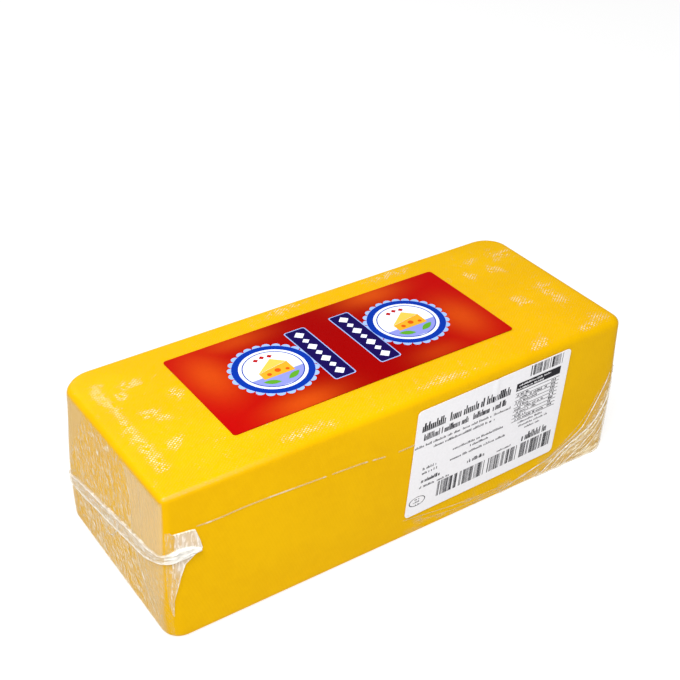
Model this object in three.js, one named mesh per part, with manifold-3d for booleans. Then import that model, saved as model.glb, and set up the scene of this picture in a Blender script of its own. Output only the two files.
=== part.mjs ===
// A block of cheddar sealed in clear film, with a printed sheet on top and a weight label in front.
// Millimetres, +Z up. The long side runs along X, the labelled side faces -Y, and the base is at z = 0.

import * as THREE from 'three';
import { mergeVertices } from 'three/addons/utils/BufferGeometryUtils.js';
import Module from 'manifold-3d';

// Driving dimensions of the block
const LENGTH = 290;
const WIDTH = 117;
const HEIGHT = 91.7;

// Rounding at the block's four upright edges, as [at the base, at the top].
// plan is the radius of the upright edge, seen from above. edge is that of the level edges that meet it.
const ROUNDING = {
  nearLeft: { plan: [10, 3.5], edge: [4, 3] },
  farLeft: { plan: [7, 16], edge: [6.5, 4.4] },
  nearRight: { plan: [11.5, 6.5], edge: [2.7, 5.5] },
  farRight: { plan: [9, 16], edge: [4, 3.6] },
};

// How far the soft block swells past its flat faces
const TOP_CROWN = 1.0;
const SIDE_SWELL = 0.5;
const END_SWELL = 3.2;
const END_SWELL_REACH = 34;
const END_SWELL_FULL_DEPTH = 0.75;
const END_SWELL_EASE = 0.75;

// Lines of the block's surface grid: distances from each edge of the sharp box where the level edges'
// radius is LINE_EDGE, and the cells between the last of them
const EDGE_LINES = [0, 1, 2.3, 4, 6.5, 10, 14, 18];
const LINE_EDGE = 4;
const FLAT_CELLS = { x: 16, y: 7, z: 5 };

// The end weld: a flattened band of film that crosses each end at mid height
const WELD = { midZ: 41.7, slope: -0.18, lift: 2.5, liftFrom: 40, liftTo: 56 };
const WELD_HALF_WIDTH = { middle: 4.6, corner: 2.6 };
const WELD_REACH_Y = 55.5;
const WELD_NARROWS_FROM = 33;
const WELD_PROUD = 1.1;
const WELD_ROOT = 2.0;
const WELD_ROLL = 0.35;
const WELD_STEPS = { along: 26, across: 2 };

// The ear: the weld's loose end, folded round the corner and pressed on the side
const EAR_PROUD = 1.4;
const EAR_ROOT = 1.6;
const EAR_RIDGE_PROUD = 2.3;
const EAR_OUTLINE = [
  [3.5, 16.5], [5, 15], [16.2, 13.4], [18.4, 6.1], [19.4, 0.5], [15.3, -1.8],
  [10.8, -5.3], [8.2, -12.3], [4.5, -26.7], [3.5, -36.8],
];
const EAR_RIDGE = { from: 2.5, to: 18.6, rise: 1.5, halfWidth: 3.2, tipHalfWidth: 1.4, steps: 6 };
const FRONT_EAR = { side: -1, scale: 1 };
const BACK_EAR = { side: 1, scale: 0.72 };

// The printed sheet on the top and the weight label on the front
const TOP_LABEL = { x: -5, y: 2.7, length: 176.5, width: 75.9, turn: 0, lean: 0, corner: 2 };
const WEIGHT_LABEL = { x: 50.1, z: 50, length: 104.4, width: 68, turn: 1.2, lean: 6.5, corner: 2.5 };
const LABEL_GAP = 0.2;
const LABEL_THICKNESS = 0.35;
const LABEL_CELL = 9;

const wasm = await Module();
wasm.setup();

const degrees = (value) => THREE.MathUtils.degToRad(value);
const smooth = (value, from, to) => THREE.MathUtils.smoothstep(value, from, to);
const mix = (a, b, t) => a + (b - a) * t;
const TINY = 1e-6;

// Place in the sharp box, from -1 to 1 along each axis
function placeAt(x, y, z) {
  return { sx: x / (LENGTH / 2), sy: y / (WIDTH / 2), sz: z / (HEIGHT / 2) - 1 };
}

// Radii of the upright and of the level edges at a place
function roundingAt({ sx, sy, sz }) {
  const tx = (sx + 1) / 2;
  const ty = (sy + 1) / 2;
  const size = (kind, tz) => {
    const corner = (name) => mix(ROUNDING[name][kind][0], ROUNDING[name][kind][1], tz);
    const near = mix(corner('nearLeft'), corner('nearRight'), tx);
    const far = mix(corner('farLeft'), corner('farRight'), tx);
    return mix(near, far, ty);
  };
  const edge = size('edge', sz > 0 ? 1 : 0);
  return { plan: Math.max(size('plan', (sz + 1) / 2), edge), edge };
}

// How far the surface moves out of the plain rounded block, at a point of it
function swell(point, { sx, sy, sz }) {
  const rise = Math.max(0, sz) * TOP_CROWN * (1 - sx * sx) * (1 - sy * sy);
  const side = SIDE_SWELL * (1 - sx * sx) * (1 - sz * sz) * sy * Math.abs(sy);
  const nearEnd = smooth(Math.abs(point.x), LENGTH / 2 - END_SWELL_REACH, LENGTH / 2);
  const depth = 1 - point.z / HEIGHT;
  const low = smooth(depth, 0, END_SWELL_FULL_DEPTH) * (1 - END_SWELL_EASE * depth * depth);
  const out = Math.sign(point.x) * END_SWELL * nearEnd * nearEnd * low;
  return new THREE.Vector3(point.x + out, point.y + side, point.z + rise);
}

// Lines of the grid along one axis, from minus half to half
function gridLines(half, cells) {
  const inner = half - EDGE_LINES.at(-1);
  const flat = Array.from({ length: cells + 1 }, (_, n) => mix(-inner, inner, n / cells));
  const edge = EDGE_LINES.slice(0, -1).map((line) => half - line);
  return [...edge.map((line) => -line), ...flat, ...edge.reverse()];
}

// Where a grid line goes so that the arc of a level edge of this radius starts on one
function spread(value, half, edge) {
  const inside = half - Math.abs(value);
  const reach = EDGE_LINES.at(-1);
  const share = Math.min(inside / LINE_EDGE, Math.max(0, (reach - inside) / (reach - LINE_EDGE)));
  return Math.sign(value) * (half - inside - (edge - LINE_EDGE) * share);
}

// A point of the sharp box's grid, drawn in to the arc of the upright edge and then to that of the level edge
function blockPoint(gridX, gridY, gridZ) {
  const { plan, edge } = roundingAt(placeAt(gridX, gridY, gridZ));
  const x = spread(gridX, LENGTH / 2, edge);
  const y = spread(gridY, WIDTH / 2, edge);
  const z = spread(gridZ - HEIGHT / 2, HEIGHT / 2, edge) + HEIGHT / 2;
  const place = placeAt(x, y, z);
  const clamp = THREE.MathUtils.clamp;
  const coreX = clamp(x, plan - LENGTH / 2, LENGTH / 2 - plan);
  const coreY = clamp(y, plan - WIDTH / 2, WIDTH / 2 - plan);
  const away = new THREE.Vector2(x - coreX, y - coreY);
  let reach = Math.max(Math.abs(away.x), Math.abs(away.y));
  away.normalize();
  const up = Math.sign(place.sz);
  let height = Math.abs(z - HEIGHT / 2);
  const over = reach - (plan - edge);
  const rise = height - (HEIGHT / 2 - edge);
  if (over > TINY && rise > TINY) {
    const size = Math.hypot(over, rise);
    reach = plan - edge + edge * over / size;
    height = HEIGHT / 2 - edge + edge * rise / size;
  }
  const point = new THREE.Vector3(coreX + away.x * reach, coreY + away.y * reach, HEIGHT / 2 + up * height);
  return swell(point, place);
}

function toSolid(geometry) {
  const bare = geometry.clone();
  bare.deleteAttribute('normal');
  bare.deleteAttribute('uv');
  const merged = mergeVertices(bare, 1e-4);
  const mesh = new wasm.Mesh({
    numProp: 3,
    vertProperties: new Float32Array(merged.attributes.position.array),
    triVerts: new Uint32Array(merged.index.array),
  });
  return new wasm.Manifold(mesh);
}

function toGeometry(solid) {
  const mesh = solid.getMesh();
  const geometry = new THREE.BufferGeometry();
  geometry.setAttribute('position', new THREE.BufferAttribute(new Float32Array(mesh.vertProperties), 3));
  geometry.setIndex(new THREE.BufferAttribute(new Uint32Array(mesh.triVerts), 1));
  geometry.computeVertexNormals();
  return geometry;
}

// One face of the block as rows of points: at(a, b) gives the point, flip turns the face over
function addFace(positions, aSteps, bSteps, at, flip) {
  for (let a = 0; a < aSteps; a += 1) {
    for (let b = 0; b < bSteps; b += 1) {
      const corners = [at(a, b), at(a + 1, b), at(a + 1, b + 1), at(a, b + 1)];
      if (flip) corners.reverse();
      for (const n of [0, 1, 2, 0, 2, 3]) positions.push(corners[n].x, corners[n].y, corners[n].z);
    }
  }
}

function geometryOf(positions) {
  const geometry = new THREE.BufferGeometry();
  geometry.setAttribute('position', new THREE.Float32BufferAttribute(positions, 3));
  return geometry;
}

function blockBody() {
  const xs = gridLines(LENGTH / 2, FLAT_CELLS.x);
  const ys = gridLines(WIDTH / 2, FLAT_CELLS.y);
  const zs = gridLines(HEIGHT / 2, FLAT_CELLS.z).map((z) => z + HEIGHT / 2);
  const [nx, ny, nz] = [xs.length - 1, ys.length - 1, zs.length - 1];
  const at = (i, j, k) => blockPoint(xs[i], ys[j], zs[k]);
  const positions = [];
  addFace(positions, nx, ny, (i, j) => at(i, j, nz), false);
  addFace(positions, nx, ny, (i, j) => at(i, j, 0), true);
  addFace(positions, nx, nz, (i, k) => at(i, 0, k), false);
  addFace(positions, nx, nz, (i, k) => at(i, ny, k), true);
  addFace(positions, ny, nz, (j, k) => at(nx, j, k), false);
  addFace(positions, ny, nz, (j, k) => at(0, j, k), true);
  return toSolid(geometryOf(positions));
}

// A closed slab between two sheets of points. at(a, b, 1) is the outer sheet and at(a, b, 0) the inner.
function slab(aSteps, bSteps, at) {
  const positions = [];
  addFace(positions, aSteps, bSteps, (a, b) => at(a, b, 1), false);
  addFace(positions, aSteps, bSteps, (a, b) => at(a, b, 0), true);
  addFace(positions, aSteps, 1, (a, t) => at(a, 0, t), false);
  addFace(positions, aSteps, 1, (a, t) => at(a, bSteps, t), true);
  addFace(positions, bSteps, 1, (b, t) => at(aSteps, b, t), false);
  addFace(positions, bSteps, 1, (b, t) => at(0, b, t), true);
  return geometryOf(positions);
}

function weldHeight(y) {
  return WELD.midZ + WELD.slope * y + WELD.lift * smooth(-y, WELD.liftFrom, WELD.liftTo);
}

// The band across one end: end is -1 for the left end and 1 for the right
function weldBand(end) {
  const at = (a, b, outer) => {
    const y = -end * mix(WELD_REACH_Y, -WELD_REACH_Y, a / WELD_STEPS.along);
    const toCorner = smooth(Math.abs(y), WELD_NARROWS_FROM, WELD_REACH_Y);
    const halfWidth = mix(WELD_HALF_WIDTH.middle, WELD_HALF_WIDTH.corner, toCorner);
    const across = b / WELD_STEPS.across * 2 - 1;
    const z = weldHeight(y) + across * halfWidth;
    const proud = outer ? WELD_PROUD * (1 - WELD_ROLL * across * across) : -WELD_ROOT;
    return new THREE.Vector3(endSkin(end, y, z) + end * proud, y, z);
  };
  return toSolid(slab(WELD_STEPS.along, WELD_STEPS.across, at));
}

// The flap of the ear, drawn from the block's left end and from the height of the weld
function earFlap({ side, scale }) {
  const weldZ = weldHeight(side * WELD_REACH_Y);
  const place = ([along, up]) => new THREE.Vector2(-LENGTH / 2 + along * scale, weldZ + up * scale);
  const shape = new THREE.Shape(EAR_OUTLINE.map(place));
  const flap = new THREE.ExtrudeGeometry(shape, { depth: EAR_ROOT + EAR_PROUD, bevelEnabled: false });
  flap.rotateX(Math.PI / 2);
  const inner = side * (WIDTH / 2 - EAR_ROOT);
  flap.translate(0, side < 0 ? inner : inner + EAR_ROOT + EAR_PROUD, 0);
  return toSolid(flap);
}

// The crushed weld on the ear, a ridge that thins towards the tip
function earRidge({ side, scale }) {
  const weldZ = weldHeight(side * WELD_REACH_Y);
  const at = (a, b, outer) => {
    const t = a / EAR_RIDGE.steps;
    const along = mix(EAR_RIDGE.from, EAR_RIDGE.to, t) * scale;
    const halfWidth = mix(EAR_RIDGE.halfWidth, EAR_RIDGE.tipHalfWidth, t * t) * scale;
    const across = (b / WELD_STEPS.across * 2 - 1) * -side;
    const proud = outer ? EAR_RIDGE_PROUD * (1 - WELD_ROLL * across * across) : -EAR_ROOT;
    const z = weldZ + EAR_RIDGE.rise * t * scale + across * halfWidth;
    return new THREE.Vector3(-LENGTH / 2 + along, side * (WIDTH / 2 + proud), z);
  };
  return toSolid(slab(EAR_RIDGE.steps, WELD_STEPS.across, at));
}

// Height of the block's top at a place of the flat part of it
function topSkin(x, y) {
  return swell(new THREE.Vector3(x, y, HEIGHT), placeAt(x, y, HEIGHT)).z;
}

// How far an arc has bent away at a distance past where it starts
function arcBend(radius, past) {
  const share = Math.min(1, Math.max(0, past / radius));
  return radius * (1 - Math.sqrt(1 - share * share));
}

// Place in X of one end of the block, which bends away at its upright edges
function endSkin(end, y, z) {
  const place = placeAt(end * LENGTH / 2, y, z);
  const { plan } = roundingAt({ ...place, sy: Math.sign(y) });
  const bend = arcBend(plan, Math.abs(y) - (WIDTH / 2 - plan));
  return swell(new THREE.Vector3(end * (LENGTH / 2 - bend), y, z), place).x;
}

// Place in Y of the block's front, which bends away at its top edge
function frontSkin(x, z) {
  const place = placeAt(x, -WIDTH / 2, z);
  const { edge } = roundingAt(place);
  const bend = arcBend(edge, z - (HEIGHT - edge));
  return swell(new THREE.Vector3(x, -WIDTH / 2 + bend, z), place).y;
}

// A sheet with rounded corners, laid on the block: skin(u, v, lift) gives a point lift above it
function labelSheet({ length, width, turn, lean, corner }, skin) {
  const aSteps = Math.round(length / LABEL_CELL);
  const bSteps = Math.round(width / LABEL_CELL);
  const spin = degrees(turn);
  const at = (a, b, outer) => {
    const u = (a / aSteps - 0.5) * length;
    const v = (b / bSteps - 0.5) * width;
    const edgeU = Math.max(0, Math.abs(u) - (length / 2 - corner)) / corner;
    const edgeV = Math.max(0, Math.abs(v) - (width / 2 - corner)) / corner;
    const pull = edgeU > 0 && edgeV > 0 ? (1 - 1 / Math.SQRT2) * corner : 0;
    const cv = v - Math.sign(v) * pull;
    const cu = u - Math.sign(u) * pull + cv * Math.tan(degrees(lean));
    const lift = LABEL_GAP + outer * LABEL_THICKNESS;
    return skin(cu * Math.cos(spin) - cv * Math.sin(spin), cu * Math.sin(spin) + cv * Math.cos(spin), lift);
  };
  return toGeometry(toSolid(slab(aSteps, bSteps, at)));
}

function topLabelGeometry() {
  return labelSheet(TOP_LABEL, (u, v, lift) => {
    const x = TOP_LABEL.x + u;
    const y = TOP_LABEL.y + v;
    return new THREE.Vector3(x, y, topSkin(x, y) + lift);
  });
}

function weightLabelGeometry() {
  return labelSheet(WEIGHT_LABEL, (u, v, lift) => {
    const x = WEIGHT_LABEL.x + u;
    const z = WEIGHT_LABEL.z + v;
    return new THREE.Vector3(x, frontSkin(x, z) - lift, z);
  });
}

function sealedBlockGeometry() {
  const extras = [weldBand(-1), weldBand(1)];
  for (const ear of [FRONT_EAR, BACK_EAR]) extras.push(earFlap(ear), earRidge(ear));
  return toGeometry(extras.reduce((whole, extra) => whole.add(extra), blockBody()));
}

function namedMesh(name, geometry, color, roughness) {
  const material = new THREE.MeshStandardMaterial({ color, roughness, metalness: 0 });
  const mesh = new THREE.Mesh(geometry, material);
  mesh.name = name;
  return mesh;
}

const block = new THREE.Group();
block.add(namedMesh('sealed_block', sealedBlockGeometry(), 0xf0b800, 0.28));
block.add(namedMesh('top_label', topLabelGeometry(), 0xb80808, 0.3));
block.add(namedMesh('weight_label', weightLabelGeometry(), 0xf4f2ee, 0.55));

// The block's box is centred over the origin
const box = new THREE.Box3().setFromObject(block);
block.position.set(-(box.min.x + box.max.x) / 2, -(box.min.y + box.max.y) / 2, -box.min.z);
block.updateMatrixWorld(true);

export default block;
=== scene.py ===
"""A block of cheddar sealed in clear film, with a printed sheet on top and a weight label in front.

Sizes are millimetres in the block's own frame: X along the block, the labelled side facing -Y, the base
at z = 0. Each piece is turned into metres when it is made.
"""
import math

import bmesh
import bpy
import numpy as np
from bpy.props import FloatProperty, FloatVectorProperty, IntProperty, PointerProperty
from mathutils import Matrix, Vector, noise


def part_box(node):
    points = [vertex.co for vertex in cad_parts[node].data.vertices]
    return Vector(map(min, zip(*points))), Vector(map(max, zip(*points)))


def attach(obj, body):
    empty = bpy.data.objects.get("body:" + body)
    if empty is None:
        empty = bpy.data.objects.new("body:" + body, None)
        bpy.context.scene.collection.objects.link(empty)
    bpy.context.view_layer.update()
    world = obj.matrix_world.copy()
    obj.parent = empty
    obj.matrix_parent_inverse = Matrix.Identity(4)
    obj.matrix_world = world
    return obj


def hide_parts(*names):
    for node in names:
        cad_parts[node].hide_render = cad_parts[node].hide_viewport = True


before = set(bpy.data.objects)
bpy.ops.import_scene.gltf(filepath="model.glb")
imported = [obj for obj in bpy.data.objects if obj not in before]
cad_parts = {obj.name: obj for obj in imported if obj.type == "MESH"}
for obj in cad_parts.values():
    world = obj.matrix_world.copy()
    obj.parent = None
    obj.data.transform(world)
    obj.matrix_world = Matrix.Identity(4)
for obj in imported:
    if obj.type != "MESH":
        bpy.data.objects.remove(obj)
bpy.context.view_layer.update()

bl_info = {
    "name": "Sealed cheddar block",
    "version": (1, 0, 0),
    "blender": (4, 5, 0),
    "location": "3D View > Sidebar > Cheddar",
    "description": "Makes a block of cheddar in clear film with its printed sheet and weight label",
    "category": "Add Mesh",
}

MM = 0.001

# The block, with the radii of its edges as (at the base, at the top): plan is that of the upright edge,
# seen from above, and edge that of the level edges that meet it
LENGTH, WIDTH, HEIGHT = 290.0, 117.0, 91.7
HALF = np.array([LENGTH, WIDTH, HEIGHT]) / 2
ROUNDING = {
    "near left": {"plan": (10, 3.5), "edge": (4, 3)},
    "far left": {"plan": (7, 16), "edge": (6.5, 4.4)},
    "near right": {"plan": (11.5, 6.5), "edge": (2.7, 5.5)},
    "far right": {"plan": (9, 16), "edge": (4, 3.6)},
}
TOP_CROWN = 1.0
SIDE_SWELL = 0.5
END_SWELL = 3.2
END_SWELL_REACH = 34.0
END_SWELL_FULL_DEPTH = 0.75
END_SWELL_EASE = 0.75
EDGE_LINES = (0, 0.5, 1.1, 1.8, 2.7, 3.8, 5.2, 7, 9.5, 12.5, 16)  # grid lines, from each edge of the box
CHEESE_CELLS, FILM_CELLS = (150, 52, 40), (198, 66, 48)  # of the grid between those lines

# The weld that crosses each end, and the ears folded round from it
WELD_MID_Z = 41.7
WELD_SLOPE = -0.18
WELD_LIFT, WELD_LIFT_FROM, WELD_LIFT_TO = 2.5, 40.0, 56.0
WELD_REACH = 55.5
WELD_HALF_WIDTH, WELD_NARROWING, WELD_NARROWS_FROM = 4.6, 2.0, 33.0
EAR_LENGTH = 18.5  # of the weld's knot along the side
EAR_EDGE = [  # how far the ear reaches from the block's left end, at heights from the weld's own
    (16.5, 3.5), (15, 5), (13.4, 16.2), (6.1, 18.4), (0.5, 19.4), (-1.8, 15.3),
    (-5.3, 10.8), (-12.3, 8.2), (-26.7, 4.5), (-36.8, 3.5),
]
EAR_INNER = [-37, -30, 0, 16.5], [2.6, 0.9, 0.6, 0.9]  # heights from the weld's, and reach of its inner edge
EAR_FOLD = [-37, -23, -6, 12], [3.2, 3.0, 5.0, 6.3]  # and of the fold line in it

# The printed sheet on the top and the weight label on the front
SHEET = {"x": -5.0, "y": 2.7, "length": 176.5, "width": 75.9, "corner": 2.0}
LABEL = {"x": 50.1, "z": 50.0, "length": 104.4, "width": 68.0, "turn": 1.2, "lean": 6.5, "corner": 2.5}
LABEL_GAP = 0.2
LABEL_THICKNESS = 0.35
LAYER_THICKNESS, LAYER_DEPTH = 0.03, 0.08  # how far a printed layer stands out, and reaches into the sheet

# The net that the block was pressed in, as it marks cheese and film
NET_PITCH = 1.45
NET_TURN = math.radians(35)

# How far the film stands off the block: where it is tight, and what its looser places add to that
TIGHT_LIFT, SLACK_LIFT, RIPPLE_LIFT, WRINKLE_LIFT, FOLD_LIFT = 0.1, 0.2, 0.3, 0.15, 0.2

# How cloudy the film is in each place, where 0 is clear and 1 hides the cheese; along the front's top edge
# the cloud is a painted highlight
END_MILK, NEAR_STRIP_MILK, FAR_STRIP_MILK = 0.30, 0.1, 0.03
BELOW_WELD_MILK, FAN_MILK, HANGING_MILK = 0.05, 0.02, 0.16
FOLD_HIGH_MILK, FOLD_LOW_MILK, FOLD_BAND_MILK = 0.15, 0.26, 0.25
# The second value is a painted highlight: film clouded white along the front's top edge, near the left end
WRINKLE_MILK, TOP_EDGE_PAINTED_HIGHLIGHT = 0.3, 0.16
SEAM_HALF_WIDTH, SEAM_MILK = 0.45, 0.3

# How far that breaks up into flecks and streaks
END_GRAIN, BELOW_WELD_GRAIN, SIDE_GRAIN, THREAD_GRAIN = 0.85, 0.1, 0.5, 0.3

# How the film is drawn: slope of its threads on the ends, and where its folds and wrinkles are on the sides
DRAW_SLOPE, DRAW_LENGTH = 0.42, 1.08
FOLDS_FROM_X, FOLDS_TO_Z, WRINKLES_TO_Z = 60, 60, 16
FOLD_LENGTH = 75
SIDE_STEP = 7.0  # keeps the noise on one side of the block apart from that on the next

# Net pressed into the film: all over the top, in its patches and at the corner under the ear
TOP_NET, PATCH_NET, CORNER_NET = 0.05, 0.75, 0.25

# The camera of the photograph
CAMERA_EYE = (-327.04, -468.92, 465.96)
CAMERA_AZIMUTH, CAMERA_ELEVATION, CAMERA_ROLL = -34.228, 32.947, 0.655
CAMERA_LENS, CAMERA_SENSOR = 67.19, 36.0

# The lights, in metres
MAIN_LIGHT = {"place": (-0.32, -0.29, 0.74), "size": 0.4}
FILL_LIGHT = {"place": (-0.10, 0.85, 0.50), "size": 0.5}
LIGHT_AIM = (0, 0, 0.04)


# Numbers and noise

def smooth(value, low, high):
    t = np.clip((np.asarray(value, float) - low) / (high - low), 0, 1)
    return t * t * (3 - 2 * t)


def bell(distance, width):
    return np.exp(-(distance / width) ** 2)


def spots_at(x, y, spots):
    """Soft spots, each with its place, half length, half width and strength. The strongest counts."""
    shown = np.zeros(len(x))
    for at_x, at_y, half_x, half_y, strength in spots:
        spot = np.exp(-((x - at_x) / half_x) ** 2 - ((y - at_y) / half_y) ** 2)
        shown = np.maximum(shown, strength * spot)
    return shown


def noise_at(points, size, seed):
    """Smooth noise from -1 to 1 at each point, with features of the given size along each axis."""
    offset = Vector((seed * 17.3, seed * 5.1, seed * 9.7))
    return np.array([noise.noise(Vector(p) + offset) for p in np.asarray(points) / size])


def ridges_at(points, size, seed):
    """Like noise_at, but 1 on sharp creases and falling to 0 between them."""
    return 1 - np.clip(np.abs(noise_at(points, size, seed)) * 3, 0, 1)


def distance_to_path(points, path):
    """Distance of flat points to a path, and how far along it the nearest place is, from 0 to 1."""
    path = np.asarray(path, float)
    best = np.full(len(points), np.inf)
    share = np.zeros(len(points))
    for n, (start, end) in enumerate(zip(path[:-1], path[1:])):
        along = end - start
        t = np.clip((points - start) @ along / (along @ along), 0, 1)
        gap = np.linalg.norm(points - start - t[:, None] * along, axis=1)
        nearer = gap < best
        best[nearer] = gap[nearer]
        share[nearer] = (n + t[nearer]) / (len(path) - 1)
    return best, share


def place_at_height(path, height):
    """How far along a rising path is at each height."""
    return np.interp(height, *np.array(path).T[::-1])


# The block's surface

def rounding_at(place):
    """Radii of the upright and of the level edges, at places from -1 to 1 in the sharp box."""
    place = np.asarray(place, float)
    tx, ty = (place[..., 0] + 1) / 2, (place[..., 1] + 1) / 2

    def size(kind, tz):
        def corner(name):
            base, top = ROUNDING[name][kind]
            return base + (top - base) * tz
        near = corner("near left") * (1 - tx) + corner("near right") * tx
        far = corner("far left") * (1 - tx) + corner("far right") * tx
        return near * (1 - ty) + far * ty
    edge = size("edge", np.where(place[..., 2] > 0, 1.0, 0.0))
    return np.maximum(size("plan", (place[..., 2] + 1) / 2), edge), edge


def swell(point, place):
    """Moves points of the plain rounded block out to where the soft block has them."""
    x, y, z = np.moveaxis(np.asarray(point, float), -1, 0)
    sx, sy, sz = np.moveaxis(np.asarray(place, float), -1, 0)
    rise = np.maximum(0, sz) * TOP_CROWN * (1 - sx * sx) * (1 - sy * sy)
    side = SIDE_SWELL * (1 - sx * sx) * (1 - sz * sz) * sy * np.abs(sy)
    near_end = smooth(np.abs(x), LENGTH / 2 - END_SWELL_REACH, LENGTH / 2)
    depth = 1 - z / HEIGHT
    low = smooth(depth, 0, END_SWELL_FULL_DEPTH) * (1 - END_SWELL_EASE * depth * depth)
    out = np.sign(x) * END_SWELL * near_end ** 2 * low
    return np.stack([x + out, y + side, z + rise], -1)


def block_surface(box):
    """Points and outward directions of the block, from points of the sharp box measured from its middle.

    A point is drawn in to the arc of the upright edge and then to that of the level edge.
    """
    place = box / HALF
    plan, edge = rounding_at(place)
    inner = HALF[:2] - plan[..., None]
    core = np.clip(box[..., :2], -inner, inner)
    away = box[..., :2] - core
    reach = np.abs(away).max(-1)
    away = away / np.maximum(np.linalg.norm(away, axis=-1, keepdims=True), 1e-9)
    height, up = np.abs(box[..., 2]), np.sign(box[..., 2])
    over, rise = reach - (plan - edge), height - (HALF[2] - edge)
    bent = (over > 0) & (rise > 0)
    size = np.where(bent, np.hypot(over, rise), 1.0)
    reach = np.where(bent, plan - edge + edge * over / size, reach)
    height = np.where(bent, HALF[2] - edge + edge * rise / size, height)
    point = np.concatenate([core + away * reach[..., None], (up * height + HALF[2])[..., None]], -1)
    level = np.where(bent, over / size, over > 0)
    steep = np.where(bent, rise / size, over <= 0)
    outward = np.concatenate([away * level[..., None], (up * steep)[..., None]], -1)
    return swell(point, place), outward


def grid_lines(half, cells):
    inner = half - EDGE_LINES[-1]
    edge = half - np.array(EDGE_LINES[:-1])
    return np.concatenate([-edge, np.linspace(-inner, inner, cells + 1), edge[::-1]])


def shell_lattice(cells):
    """Points and faces of a closed grid over the sharp box, with the given cells between its edges."""
    lines = [grid_lines(half, count) for half, count in zip(HALF, cells)]
    counts = [len(line) for line in lines]
    quads = []
    for axis in range(3):
        b_axis, c_axis = (axis + 1) % 3, (axis + 2) % 3
        b, c = np.meshgrid(np.arange(counts[b_axis] - 1), np.arange(counts[c_axis] - 1), indexing="ij")
        for last in (False, True):
            corners = []
            for db, dc in ((0, 0), (1, 0), (1, 1), (0, 1)):
                index = [None] * 3
                index[axis] = np.full_like(b, counts[axis] - 1 if last else 0)
                index[b_axis], index[c_axis] = b + db, c + dc
                corners.append((index[0] * counts[1] + index[1]) * counts[2] + index[2])
            quads.append(np.stack(corners if last else corners[::-1], -1).reshape(-1, 4))
    used, faces = np.unique(np.concatenate(quads), return_inverse=True)
    steps = np.stack(np.unravel_index(used, counts), -1)
    return np.stack([lines[n][steps[:, n]] for n in range(3)], -1), faces.reshape(-1, 4)


def top_skin(x, y):
    """Height of the flat part of the block's top."""
    place = np.stack([x / HALF[0], y / HALF[1], np.ones_like(x)], -1)
    return swell(np.stack([x, y, np.full_like(x, HEIGHT)], -1), place)[..., 2]


def front_skin(x, z):
    """Place in Y of the flat part of the block's front."""
    place = np.stack([x / HALF[0], -np.ones_like(x), z / HALF[2] - 1], -1)
    return swell(np.stack([x, np.full_like(x, -HALF[1]), z], -1), place)[..., 1]


def weld_height(y):
    return WELD_MID_Z + WELD_SLOPE * y + WELD_LIFT * smooth(-y, WELD_LIFT_FROM, WELD_LIFT_TO)


# Meshes

def block_shift():
    """Where the packed model has the middle of the block, found from the printed sheet on it."""
    low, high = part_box("top_label")
    middle = (low + high) / 2
    return Vector((middle.x - SHEET["x"] * MM, middle.y - SHEET["y"] * MM, 0))


def make_mesh(name, points, faces, crease=40, **values):
    """A mesh in metres from points in millimetres, with its extra values as attributes."""
    shift = block_shift()
    mesh = bpy.data.meshes.new(name)
    mesh.from_pydata((np.asarray(points) * MM + np.array(shift)).tolist(), [], [list(f) for f in faces])
    for key, value in values.items():
        value = np.asarray(value, np.float32)
        if value.ndim == 2:
            data = mesh.attributes.new(name=key, type="FLOAT_VECTOR", domain="POINT").data
            data.foreach_set("vector", value.ravel())
        else:
            mesh.attributes.new(name=key, type="FLOAT", domain="POINT").data.foreach_set("value", value)
    work = bmesh.new()
    work.from_mesh(mesh)
    bmesh.ops.recalc_face_normals(work, faces=work.faces)
    work.to_mesh(mesh)
    work.free()
    mesh.shade_smooth()
    mesh.set_sharp_from_angle(angle=math.radians(crease))
    return mesh


def make_piece(name, mesh, material, node):
    """The finished piece, in place of the solid that it stands for."""
    mesh.materials.clear()
    mesh.materials.append(material)
    piece = bpy.data.objects.new(name, mesh)
    bpy.context.scene.collection.objects.link(piece)
    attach(piece, "root")
    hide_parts(node)
    return piece


def grid_faces(rows, columns):
    index = np.arange(rows * columns).reshape(rows, columns)
    corners = [index[:-1, :-1], index[1:, :-1], index[1:, 1:], index[:-1, 1:]]
    return np.stack(corners, -1).reshape(-1, 4).tolist()


def closed_slab(outer, inner):
    """Points and faces of a closed slab between two grids of points of the same size."""
    rows, columns = outer.shape[:2]
    index = np.arange(rows * columns).reshape(rows, columns)
    sheet = np.array(grid_faces(rows, columns))
    rim = np.concatenate([index[:-1, 0], index[-1, :-1], index[:0:-1, -1], index[0, :0:-1]])
    after = np.roll(rim, -1)
    total = rows * columns
    sides = np.stack([rim, after, after + total, rim + total], -1)
    points = np.concatenate([outer.reshape(-1, 3), inner.reshape(-1, 3)])
    return points, np.concatenate([sheet, sheet[:, ::-1] + total, sides])


# Material building

def add_node(tree, kind, inputs=None, settings=None):
    """Adds a node to a tree. An input that is given a socket is linked to it."""
    made = tree.nodes.new(kind)
    for key, value in (settings or {}).items():
        setattr(made, key, value)
    for key, value in (inputs or {}).items():
        if isinstance(value, bpy.types.NodeSocket):
            tree.links.new(value, made.inputs[key])
        else:
            made.inputs[key].default_value = value
    return made


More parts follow.
